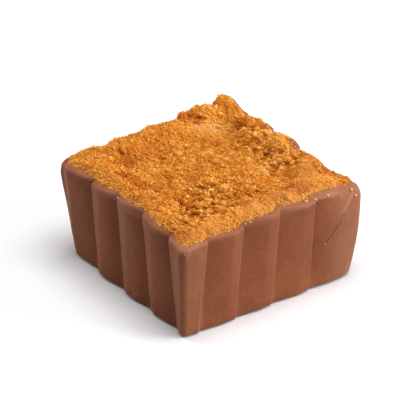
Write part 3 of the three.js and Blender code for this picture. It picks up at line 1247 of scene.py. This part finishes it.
@dataclass
class CrumbLayer:
    """The crumb on the cup: a bed with a relief of clumps, and loose crumbs strewn over it.

    Sizes are in millimetres, and tones and flour are from 0 to 1. A pair of numbers is a range:
    where something starts and where it is full, or the least and the most. The spots say where
    the crumb is as their name says, a slice is the height at which a pattern is cut, and a lift
    is a share of a crumb's radius.
    """

    shape: CupShape
    over_rim: float = 0.6
    dish_depth: float = 1.45
    band_width: float = 3.0
    slope_width: float = 3.8
    front_edge_width: float = 1.6
    back_edge_width: float = 0.8
    back_reach: tuple[float, float] = (9.0, 12.5)
    edge_sink: float = 0.25
    edge_noise: float = 0.3
    edge_noise_radius: float = 18.9
    edge_noise_slice: float = 3.0
    bare_rim: tuple[Spot, ...] = (Spot(9.0, -14.5, 6.5, 0.65), Spot(3.5, -14.5, 4.0, 0.3))
    bed_cells: int = 270
    bed_half_width: float = 13.6
    bed_pull: tuple[float, float] = (0.6, 1.0)
    bed_floor: float = 12.5
    bed_floor_share: float = 0.93
    bed_tone: float = 0.1
    bed_relief_shading: float = 0.4
    bed_shade: float = 0.45
    outline_inset: float = 0.2
    outline_steps: int = 900
    outline_smoothing: int = 3
    outline_flutes: tuple[float, ...] = (0.8, 1.0, 0.9, 0.6)
    outline_corners: tuple[tuple[float, float], ...] = (
        (0.7, 0.3),
        (0.3, 0.25),
        (0.3, 0.9),
        (0.8, 0.65),
    )
    hollows: tuple[Spot, ...] = (
        Spot(-8.0, -6.9, 1.3, 0.55),
        Spot(-10.3, 4.6, 0.9, 0.45),
        Spot(-3.2, -2.2, 1.2, 0.35),
        Spot(-7.3, 10.3, 0.8, 0.3),
        Spot(9.9, 6.4, 0.9, 0.35),
        Spot(9.3, -0.8, 1.0, 0.4),
        Spot(10.25, -5.8, 0.7, 0.35),
        Spot(1.15, -7.5, 1.0, 0.35),
        Spot(1.4, 13.4, 2.4, 0.35),
        Spot(13.0, 3.3, 2.3, 0.95),
        Spot(13.0, -2.2, 2.4, 0.95),
        Spot(12.8, -11.2, 1.5, 0.3),
    )
    # Painted light: spots where the crumb's tone is raised so that it looks lit.
    painted_light_spots: tuple[Spot, ...] = (
        Spot(6.5, 7.5, 7.0),
        Spot(9.0, -2.0, 6.0, 0.8),
        Spot(7.6, 13.2, 2.6, 2.0),
        Spot(12.2, 13.4, 2.6, 1.4),
        Spot(10.9, -0.4, 1.8, 2.4),
        Spot(6.9, -1.0, 1.8, 1.8),
        Spot(1.7, -4.0, 2.2, 1.4),
        Spot(-4.3, -3.1, 1.5, 1.3),
        Spot(0.0, 8.2, 2.6, 1.1),
        Spot(-4.5, 6.3, 1.6, 1.1),
        Spot(7.8, 5.0, 1.8, 1.5),
        Spot(-9.6, 12.6, 4.5, 1.5),
        Spot(-11.5, 1.5, 1.2, 1.0),
        Spot(1.4, -0.8, 1.8, 1.2),
    )
    # Painted shade: spots where the crumb's tone is lowered so that it looks shaded.
    painted_shade_spots: tuple[Spot, ...] = (
        Spot(-8.2, -7.6, 2.4, 1.0),
        Spot(-9.4, 1.3, 2.4, 1.3),
        Spot(-10.0, 5.1, 1.7, 1.3),
        Spot(1.8, 3.9, 1.8, 0.7),
        Spot(-2.1, -2.9, 1.5, 0.95),
        Spot(-8.4, -3.2, 2.4, 0.9),
        Spot(-8.2, 9.4, 2.8, 0.75),
        Spot(5.0, 6.8, 2.0, 0.75),
        Spot(5.4, 11.5, 2.0, 0.6),
        Spot(10.4, 11.6, 1.8, 0.5),
        Spot(10.5, 7.0, 1.4, 1.2),
        Spot(11.5, 4.6, 1.3, 0.7),
        Spot(11.2, -4.7, 1.6, 0.6),
        Spot(12.0, -9.1, 1.8, 0.6),
        Spot(6.4, -10.6, 3.0, 0.75),
        Spot(1.5, -11.3, 3.0, 0.65),
        Spot(-2.3, -9.7, 2.4, 0.8),
        Spot(-5.6, -7.5, 1.5, 0.8),
        Spot(-12.7, -12.2, 2.4, 0.6),
        Spot(-2.5, 0.4, 1.5, 0.6),
    )
    clumpy: tuple[Spot, ...] = (
        Spot(-6.5, -7.5, 7.0),
        Spot(-2.0, -5.0, 6.0),
        Spot(9.5, 3.0, 4.0, 0.9),
        Spot(9.5, -3.0, 4.0, 0.9),
        Spot(-9.5, 4.5, 3.0, 0.6),
        Spot(8.0, 11.0, 3.0, 0.6),
    )
    powdery: tuple[Spot, ...] = (
        Spot(6.7, 9.1, 2.6, 0.75),
        Spot(4.9, 9.6, 1.6, 0.6),
        Spot(6.8, -3.1, 1.7, 0.7),
        Spot(3.2, 4.9, 1.3, 0.5),
        Spot(8.3, -4.6, 1.2, 0.4),
    )
    pressed: tuple[Spot, ...] = (
        Spot(-12.5, -12.5, 4.0, 0.7),
        Spot(-8.0, -12.8, 3.5, 0.8),
        Spot(-2.0, -13.0, 3.5, 0.9),
        Spot(4.0, -12.5, 3.8, 0.9),
        Spot(9.5, -11.5, 4.2, 0.8),
        Spot(12.0, -7.0, 3.0, 0.5),
    )
    floury: tuple[Spot, ...] = (
        Spot(7.2, 9.0, 1.2, 0.6),
        Spot(5.4, 9.6, 1.0, 0.4),
        Spot(8.3, 7.9, 0.8, 0.3),
        Spot(6.8, -3.1, 1.1, 0.5),
        Spot(3.2, 4.9, 0.8, 0.35),
        Spot(8.3, -4.6, 0.8, 0.4),
    )
    specks: tuple[Spot, ...] = (Spot(-5.05, 5.5, 0.55, 1.0), Spot(2.3, -1.5, 0.4, 0.8))
    heaps: tuple[Spot, ...] = (
        Spot(8.8, 14.6, 4.6, 1.05),
        Spot(11.0, 13.4, 3.0, 0.5),
        Spot(4.4, 13.0, 1.2, 0.75),
        Spot(-7.8, 13.0, 3.0, 0.4),
        Spot(12.9, -8.2, 1.4, 0.45),
    )
    # How strongly the painted light spots raise the tone, how strongly the painted shade spots lower
    # it, and how far the bed sinks at the shade spots.
    painted_light_strength: float = 0.14
    painted_shade_strength: float = 0.34
    shade_spot_depth: float = 0.2
    lumps: tuple[LumpLayer, ...] = (
        LumpLayer(1.7, 0.45, 0.0),
        LumpLayer(0.8, 0.5, 0.25),
        LumpLayer(0.42, 0.28, 0.25),
    )
    lump_slice: float = 7.3
    least_clumpy: float = 0.3
    clumpy_at_rim: float = 0.35
    clumpy_inset: tuple[float, float] = (2.6, 4.2)
    powder_smooths: float = 0.75
    pressing_smooths: float = 0.6
    flour_cover: float = 0.7
    flour_pressed: float = 0.12
    grain_models: int = 5
    grain_jitter: float = 0.16
    grain_shape: Point = (1.0, 0.92, 0.82)
    grain_stretch: tuple[float, float] = (0.8, 1.2)
    grain_tone: float = 0.5
    grain_relief_shading: float = 1.2
    grain_tone_spread: float = 0.17
    grain_tone_pressed: float = 0.1
    grain_sink_pressed: float = 0.4
    grain_flour: float = 0.8
    grain_flour_pressed: float = 0.2
    palest_tone: float = 0.9
    speck_flour: float = 0.8
    strewn_half_width: float = 15.0
    overhang_fade: float = 0.2
    drop_height: float = 25.0
    deepest_landing: float = 2.5
    edge_crumbs: int = 2300
    edge_crumb_inset: float = 0.5
    edge_crumb_rise: float = 1.5
    edge_crumb_lift: float = -0.1
    edge_crumb_tone: float = 0.55
    edge_crumb_tone_spread: float = 0.08
    edge_crumb_flour: float = 0.04
    strewn: tuple[GrainSort, ...] = (
        GrainSort(
            kind=GrainKind.COARSE,
            radii=(0.30, 0.52),
            roundness=2,
            seed=23,
            sink=0.6,
            spacing=0.85,
            overhang=1.2,
            odds=GrainOdds(0.1, clumps=0.75, powder=0.9, pressing=1.0, inset=(0.5, 3.0)),
        ),
        GrainSort(
            kind=GrainKind.MIDDLE,
            radii=(0.14, 0.23),
            roundness=1,
            seed=22,
            sink=0.5,
            spacing=0.42,
            overhang=0.2,
            odds=GrainOdds(0.5, clumps=0.4, powder=0.7, pressing=0.8),
        ),
        GrainSort(
            kind=GrainKind.FINE,
            radii=(0.09, 0.14),
            roundness=1,
            seed=21,
            sink=0.3,
            spacing=0.275,
            odds=GrainOdds(0.9, loose=0.2),
        ),
    )
    stray: GrainSort = GrainSort(GrainKind.STRAY, radii=(0.16, 0.28), roundness=2, seed=71)
    stray_lift: float = 0.35
    stray_tones: tuple[float, float] = (0.6, 0.9)
    strays: tuple[Point, ...] = (
        (13.8, -14.3, 12.9),
        (13.3, -14.0, 13.9),
        (7.3, -14.1, 14.6),
        (5.6, -14.0, 14.5),
        (9.2, -14.0, 14.4),
        (-4.2, -13.9, 14.7),
        (-13.9, -8.0, 14.8),
        (-13.6, 12.9, 13.8),
        (-13.6, 3.3, 14.8),
        (-14.0, 1.2, 14.8),
    )

    def __post_init__(self) -> None:
        """Work out the line where the crumb ends, as its reach in each direction."""
        rim = self.shape.rim
        line = LevelShape(
            sides=tuple(
                SideLine(
                    crease=side.crease - self.outline_inset,
                    first=side.first,
                    flute=flute,
                    crest=side.crest,
                    corner=tuple(reach - inset for reach, inset in zip(side.corner, insets)),
                    radii=side.radii,
                )
                for side, flute, insets in zip(rim.sides, self.outline_flutes, self.outline_corners)
            ),
            pitch=rim.pitch,
        )
        points = self.shape.outline(line)
        angles = np.arctan2(points[:, 1], points[:, 0])
        order = np.argsort(angles)
        self._angles = np.linspace(-math.pi, math.pi, self.outline_steps, endpoint=False)
        reaches = np.interp(
            self._angles, angles[order], np.hypot(*points.T)[order], period=FULL_TURN
        )
        shifts = range(-self.outline_smoothing, self.outline_smoothing + 1)
        lowest = np.min([np.roll(reaches, shift) for shift in shifts], axis=0)
        self._reaches = np.mean([np.roll(lowest, shift) for shift in shifts], axis=0)

    def reach(self, x: np.ndarray, y: np.ndarray) -> np.ndarray:
        """Return how far the crumb reaches in the direction of points.

        Args:
            x: Where the points lie along X, in millimetres.
            y: Where they lie along Y.

        Returns:
            The distances from the middle, in millimetres.
        """
        angles = np.arctan2(y, x)
        reach = np.interp(angles, self._angles, self._reaches, period=FULL_TURN)
        ring = self.edge_noise_radius * np.column_stack([np.cos(angles), np.sin(angles)])
        wave = np.array([noise.noise((a, b, self.edge_noise_slice)) for a, b in ring])
        bare = strongest(self.bare_rim, reach * np.cos(angles), reach * np.sin(angles))
        return reach + self.edge_noise * wave - bare

    def height(self, x: np.ndarray, y: np.ndarray) -> np.ndarray:
        """Return the height of the crumb's surface at points, without its relief.

        Args:
            x: Where the points lie along X, in millimetres.
            y: Where they lie along Y.

        Returns:
            The heights, in millimetres.
        """
        level = self.shape.rim_height_at(x, y) + self.over_rim
        inset = self.shape.inset(x, y)
        slope = smooth(inset, self.band_width, self.band_width + self.slope_width)
        return level - self.dish_depth * slope

    def _tone_shift(self, x: np.ndarray, y: np.ndarray) -> np.ndarray:
        """Return the painted light and shade at points: how much the crumb's tone is raised at the
        light spots and lowered at the shade spots.
        """
        painted_light_spots, painted_shade_spots = strongest(self.painted_light_spots, x, y), strongest(self.painted_shade_spots, x, y)
        return self.painted_light_strength * painted_light_spots - self.painted_shade_strength * painted_shade_spots

    def _powdery(self, x: np.ndarray, y: np.ndarray) -> np.ndarray:
        """Return how powdery the crumb is at points, from 0 to 1."""
        return np.clip(strongest(self.powdery, x, y), 0.0, 1.0)

    def _openness(self, x: np.ndarray, y: np.ndarray) -> np.ndarray:
        """Return how loosely the crumb lies at points, 0 where it is pressed or powdery."""
        closed = np.maximum(strongest(self.pressed, x, y), strongest(self.powdery, x, y))
        return 1.0 - np.clip(closed, 0.0, 1.0)

    def _lump_relief(self, x: np.ndarray, y: np.ndarray) -> tuple[np.ndarray, np.ndarray]:
        """Return the relief of clumps at points.

        Args:
            x: Where the points lie along X, in millimetres.
            y: Where they lie along Y.

        Returns:
            The heights in millimetres, and how high in the relief each point is, from 0 to 1.
        """
        inner = raised(smooth(self.shape.inset(x, y), *self.clumpy_inset), self.clumpy_at_rim)
        clumpy = raised(strongest(self.clumpy, x, y) * inner, self.least_clumpy)
        rough = clumpy * (1.0 - self.powder_smooths * self._powdery(x, y))
        rough = rough * (1.0 - self.pressing_smooths * strongest(self.pressed, x, y))
        relief = sum(
            lumps.relief(x, y, rough, self.lump_slice * layer)
            for layer, lumps in enumerate(self.lumps)
        )
        total = sum(lumps.depth for lumps in self.lumps)
        return relief, np.clip(0.5 + relief / total, 0.0, 1.0)

    def _bed_sheet(self) -> bpy.types.Object:
        """Lay the bed's surface as a finely divided sheet, and paint it.

        Returns:
            The open sheet, in object mode.
        """
        bpy.ops.object.select_all(action="DESELECT")
        bpy.ops.mesh.primitive_grid_add(
            x_subdivisions=self.bed_cells,
            y_subdivisions=self.bed_cells,
            size=2.0 * self.bed_half_width * MM,
            location=(0.0, 0.0, self.shape.rim_height * MM),
        )
        piece = bpy.context.object
        bpy.ops.object.transform_apply(location=True, rotation=True, scale=True)
        x, y, _ = coordinates(piece).T
        ring = np.maximum(np.abs(x), np.abs(y)) / self.bed_half_width
        length = np.hypot(x, y) + TINY
        pull = (self.reach(x, y) * ring / length - 1.0) * smooth(ring, *self.bed_pull)
        x, y = x * (1.0 + pull), y * (1.0 + pull)
        relief, tone = self._lump_relief(x, y)
        relief += strongest(self.heaps, x, y) - strongest(self.hollows, x, y)
        # The bed also sinks a little at the painted shade spots.
        relief -= self.shade_spot_depth * strongest(self.painted_shade_spots, x, y)
        inward = (1.0 - ring) * self.bed_half_width
        back = smooth(np.maximum(x, y), *self.back_reach)
        edge_width = self.front_edge_width + (self.back_edge_width - self.front_edge_width) * back
        full = np.sin(QUARTER_TURN * np.clip(inward / edge_width, 0.0, 1.0))
        cup = self.shape.rim_height_at(x, y) - self.shape.dish(x, y, self.shape.case_dish_depth)
        under = cup - self.edge_sink
        top = self.height(x, y) + relief
        set_coordinates(piece, np.column_stack([x, y, under + (top - under) * full]))
        # Painted light and shade in the bed's tone: darker in the gaps of the relief and lighter on
        # its tops, raised at the light spots and lowered at the shade spots, and darker as painted
        # shade where crumbs lie loosely.
        bed_tone = self.bed_tone + self.bed_relief_shading * tone + self._tone_shift(x, y)
        paint(piece, "tone", bed_tone * (1.0 - self.bed_shade * self._openness(x, y)))
        flour = self.flour_cover * strongest(self.floury, x, y)
        flour += self.flour_pressed * strongest(self.pressed, x, y)
        paint(piece, "flour", flour * tone)
        return piece

    def _bed(self) -> bpy.types.Object:
        """Build the bed: a sheet with a relief, closed down into the cup.

        Returns:
            The finished piece.
        """
        piece = self._bed_sheet()
        start_piece("crumb_bed")
        bpy.ops.mesh.select_all(action="DESELECT")
        bpy.ops.mesh.select_mode(type="EDGE")
        bpy.ops.mesh.select_non_manifold()
        drop = (self.bed_floor - self.shape.rim_height) * MM
        bpy.ops.mesh.extrude_edges_move(TRANSFORM_OT_translate={"value": (0.0, 0.0, drop)})
        bpy.ops.transform.resize(
            value=(self.bed_floor_share, self.bed_floor_share, 0.0),
            center_override=(0.0, 0.0, self.bed_floor * MM),
        )
        bpy.ops.mesh.edge_face_add()
        close_piece(piece)
        bpy.ops.object.shade_smooth()
        piece.data.materials.append(CrumbFinish("crumb_bed_finish").material())
        hand_over(piece, CRUMB_NODE)
        return piece

    def _grain_model(self, sort: GrainSort, variant: int) -> tuple[np.ndarray, np.ndarray]:
        """Model one crumb of 1 mm radius.

        Args:
            sort: The sort of crumb.
            variant: Which of the sort's models it is.

        Returns:
            Its points, and the numbers of the points of each of its faces.
        """
        bpy.ops.object.select_all(action="DESELECT")
        bpy.ops.mesh.primitive_ico_sphere_add(subdivisions=sort.roundness, radius=1.0)
        model = start_piece(f"{sort.kind.value}_model")
        bpy.ops.transform.vertex_random(offset=self.grain_jitter, seed=sort.seed + variant)
        bpy.ops.transform.resize(value=self.grain_shape)
        bpy.ops.object.mode_set(mode="OBJECT")
        points = coordinates(model) * MM
        faces = np.array([tuple(face.vertices) for face in model.data.polygons])
        bpy.data.objects.remove(model)
        return points, faces

    def _scatter(
        self, sort: GrainSort, grains: list[Grain], rng: np.random.Generator
    ) -> bpy.types.Object:
        """Join copies of a few modelled crumbs into one piece.

        Args:
            sort: The sort of crumb.
            grains: Where each crumb lies, and how it looks.
            rng: The random numbers to draw from.

        Returns:
            The finished piece.
        """
        name = sort.kind.value
        models = [self._grain_model(sort, variant) for variant in range(self.grain_models)]
        across = np.array([grain.place[:2] for grain in grains]).T
        specks = self.speck_flour * np.clip(strongest(self.specks, *across), 0.0, 1.0)
        points, faces, tone, flour = [], [], [], []
        offset = 0
        for grain, speck in zip(grains, specks):
            model_points, model_faces = models[int(rng.integers(len(models)))]
            turn = Matrix.Rotation(rng.uniform(0, FULL_TURN), 3, Vector(rng.normal(size=3)))
            stretched = model_points * rng.uniform(*self.grain_stretch, 3) * grain.radius
            points.append(stretched @ np.array(turn).T + grain.place)
            faces.append(model_faces + offset)
            tone.append(np.full(len(model_points), grain.tone))
            flour.append(np.full(len(model_points), max(grain.flour, speck)))
            offset += len(model_points)
        mesh = bpy.data.meshes.new(name)
        mesh.from_pydata((np.vstack(points) * MM).tolist(), [], np.vstack(faces).tolist())
        mesh.shade_smooth()
        piece = bpy.data.objects.new(name, mesh)
        bpy.context.scene.collection.objects.link(piece)
        paint(piece, "tone", np.concatenate(tone))
        paint(piece, "flour", np.concatenate(flour))
        piece.data.materials.append(CrumbFinish(f"{name}_finish").material())
        hand_over(piece, CRUMB_NODE)
        return piece

    def _chance(self, odds: GrainOdds, x: np.ndarray, y: np.ndarray) -> np.ndarray:
        """Work out how likely a crumb is to lie at points.

        Args:
            odds: The odds of its sort.
            x: Where the points lie along X, in millimetres.
            y: Where they lie along Y.

        Returns:
            The chances, from 0 to 1.
        """
        chance = odds.anywhere + odds.clumps * strongest(self.clumpy, x, y)
        chance = chance - odds.loose * self._openness(x, y)
        chance = chance * (1.0 - odds.powder * self._powdery(x, y))
        chance = chance * (1.0 - odds.pressing * strongest(self.pressed, x, y))
        if odds.inset:
            chance = chance * smooth(self.shape.inset(x, y), *odds.inset)
        return chance

    def _strewn(self, sort: GrainSort, rng: np.random.Generator) -> tuple[np.ndarray, np.ndarray]:
        """Choose places for crumbs, at most one in each cell of a jittered grid.

        Args:
            sort: The sort of crumb.
            rng: The random numbers to draw from.

        Returns:
            Where they lie along X and along Y, in millimetres.
        """
        cells = int(2.0 * self.strewn_half_width / sort.spacing)
        steps = (np.arange(cells) + 0.5) * sort.spacing - self.strewn_half_width
        x, y = (grid.ravel() for grid in np.meshgrid(steps, steps))
        x = x + rng.uniform(-0.5, 0.5, len(x)) * sort.spacing
        y = y + rng.uniform(-0.5, 0.5, len(y)) * sort.spacing
        inward = self.reach(x, y) - np.hypot(x, y) - sort.overhang
        keep = rng.random(len(x)) < smooth(inward, -self.overhang_fade, self.overhang_fade)
        x, y = x[keep], y[keep]
        keep = rng.random(len(x)) < self._chance(sort.odds, x, y)
        return x[keep], y[keep]

    def _edge_crumbs(
        self, bed: bpy.types.Object, sort: GrainSort, rng: np.random.Generator
    ) -> list[Grain]:
        """Place the crumbs that cover the steep edge of the bed.

        Args:
            bed: The bed.
            sort: The sort of crumb.
            rng: The random numbers to draw from.

        Returns:
            The crumbs.
        """
        count = self.edge_crumbs
        angles = rng.uniform(-math.pi, math.pi, count)
        reaches = self.reach(np.cos(angles), np.sin(angles))
        reaches = reaches - rng.uniform(0.0, self.edge_crumb_inset, count)
        x, y = reaches * np.cos(angles), reaches * np.sin(angles)
        heights = self.shape.rim_height_at(x, y) + rng.uniform(0.0, self.edge_crumb_rise, count)
        radii = rng.uniform(*sort.radii, count)
        tones = rng.normal(self.edge_crumb_tone, self.edge_crumb_tone_spread, count)
        tones = np.clip(tones, 0.0, self.palest_tone)
        grains = []
        for spot, radius, tone in zip(zip(x, y, heights), radii, tones):
            place = laid_on(bed, spot, self.edge_crumb_lift * radius)
            grains.append(Grain(place, radius, tone, self.edge_crumb_flour))
        return grains

    def _strew(self, sort: GrainSort, ground: list[bpy.types.Object]) -> bpy.types.Object:
        """Strew one sort of crumb over the pieces that are there.

        Args:
            sort: The sort of crumb.
            ground: The bed first, and the other pieces that crumbs can land on.

        Returns:
            The finished piece.
        """
        rng = np.random.default_rng(sort.seed)
        x, y = self._strewn(sort, rng)
        pressed = strongest(self.pressed, x, y)
        floury = strongest(self.floury, x, y) + self.grain_flour_pressed * pressed
        _, relief_tone = self._lump_relief(x, y)
        # Painted light and shade in each crumb's tone: darker where the relief under it is low,
        # lighter where it is high, and shifted at the light and shade spots.
        tones = self.grain_tone + self.grain_relief_shading * (relief_tone - 0.5) + self._tone_shift(x, y)
        sinks = sort.sink + self.grain_sink_pressed * pressed
        spreads = self.grain_tone_spread - self.grain_tone_pressed * pressed
        smallest, largest = sort.radii
        radii = smallest + (largest - smallest) * rng.random(len(x)) ** 2
        grains = []
        down = Vector((0.0, 0.0, -1.0))
        rows = zip(x, y, radii, floury, tones, sinks, spreads)
        for px, py, radius, pale, middle, sink, spread in rows:
            start = Vector((px, py, self.drop_height)) * MM
            hits = [piece.ray_cast(start, down) for piece in ground]
            level = max((hit[1].z / MM for hit in hits if hit[0]), default=0.0)
            if level < self.shape.rim_height - self.deepest_landing:
                continue
            tone = float(np.clip(rng.normal(middle, spread), 0.0, self.palest_tone))
            place = (px, py, level + (0.5 - sink) * radius)
            grains.append(Grain(place, radius, tone, self.grain_flour * pale * rng.random()))
        if sort.kind is GrainKind.FINE:
            grains += self._edge_crumbs(ground[0], sort, rng)
        return self._scatter(sort, grains, rng)

    def _strew_strays(self, case: bpy.types.Object) -> None:
        """Put single crumbs on the shoulder and the wall of the cup.

        Args:
            case: The cup.
        """
        rng = np.random.default_rng(self.stray.seed)
        radii = rng.uniform(*self.stray.radii, len(self.strays))
        tones = rng.uniform(*self.stray_tones, len(self.strays))
        grains = [
            Grain(laid_on(case, spot, self.stray_lift * radius), radius, tone)
            for spot, radius, tone in zip(self.strays, radii, tones)
        ]
        self._scatter(self.stray, grains, rng)

    def build(self, case: bpy.types.Object) -> None:
        """Build the bed and strew the loose crumbs.

        Args:
            case: The cup, on which the crumbs at the edge lie.
        """
        ground = [self._bed(), case]
        bpy.context.view_layer.update()
        for sort in self.strewn:
            ground.append(self._strew(sort, ground))
            bpy.context.view_layer.update()
        self._strew_strays(case)


# --------------------------------------------------------------------------------------- studio


@dataclass(frozen=True)
class SoftLight:
    """A square soft light, with where it stands in metres from the middle of the object."""

    name: str
    place: Point
    size: float
    power: float


@dataclass
class Studio:
    """The camera, the lights and the pale floor."""

    azimuth: float = -35.88
    elevation: float = 31.29
    distance: float = 0.933
    lens: float = 599.8
    sensor: float = 36.0
    aim: Point = (0.00035, 0.00033, 0.00824)
    floor_size: float = 3.0
    floor_colour: Colour = (0.7, 0.7, 0.7)
    floor_roughness: float = 0.9
    sky: float = 0.05
    lights: tuple[SoftLight, ...] = (
        SoftLight("key_light", (0.33, -0.31, 0.13), 0.26, 2.5),
        SoftLight("top_light", (0.04, -0.08, 0.45), 0.30, 2.6),
        SoftLight("side_light", (-0.17, 0.38, 0.22), 0.28, 1.45),
    )

    def _camera(self) -> None:
        """Set up the camera at the photograph's angle."""
        turn, rise = math.radians(self.azimuth), math.radians(self.elevation)
        back = Vector(
            (math.sin(turn) * math.cos(rise), -math.cos(turn) * math.cos(rise), math.sin(rise))
        )
        data = bpy.data.cameras.new("camera")
        data.lens = self.lens
        data.sensor_width = self.sensor
        camera = bpy.data.objects.new("camera", data)
        camera.location = Vector(self.aim) + back * self.distance
        camera.rotation_euler = (-back).to_track_quat("-Z", "Y").to_euler()
        bpy.context.scene.collection.objects.link(camera)
        bpy.context.scene.camera = camera

    def _lamps(self) -> None:
        """Hang the soft lights, turned to the object."""
        for light in self.lights:
            data = bpy.data.lights.new(light.name, "AREA")
            data.size = light.size
            data.energy = light.power
            lamp = bpy.data.objects.new(light.name, data)
            lamp.location = light.place
            lamp.rotation_euler = (-Vector(light.place)).to_track_quat("-Z", "Y").to_euler()
            bpy.context.scene.collection.objects.link(lamp)

    def _surroundings(self) -> None:
        """Lay the floor and light the room evenly."""
        world = bpy.data.worlds.new("pale_room")
        world.use_nodes = True
        background = world.node_tree.nodes["Background"]
        background.inputs["Color"].default_value = (1.0, 1.0, 1.0, 1.0)
        background.inputs["Strength"].default_value = self.sky
        bpy.context.scene.world = world
        bpy.ops.object.select_all(action="DESELECT")
        bpy.ops.mesh.primitive_plane_add(size=self.floor_size)
        floor = bpy.context.object
        floor.name = "floor"
        shader = Shader("pale_floor")
        shader.surface.inputs["Base Color"].default_value = (*self.floor_colour, 1.0)
        shader.surface.inputs["Roughness"].default_value = self.floor_roughness
        floor.data.materials.append(shader.material)

    def build(self) -> None:
        """Set up the whole studio."""
        self._camera()
        self._lamps()
        self._surroundings()
        bpy.context.scene.view_settings.view_transform = "Standard"


def main() -> None:
    logging.basicConfig(level=logging.INFO, format="%(name)s: %(message)s")
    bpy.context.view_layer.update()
    shape = CupShape()
    case = ChocolateCase(shape).build()
    CrumbLayer(shape).build(case)
    Studio().build()


if __name__ == "__main__":
    main()
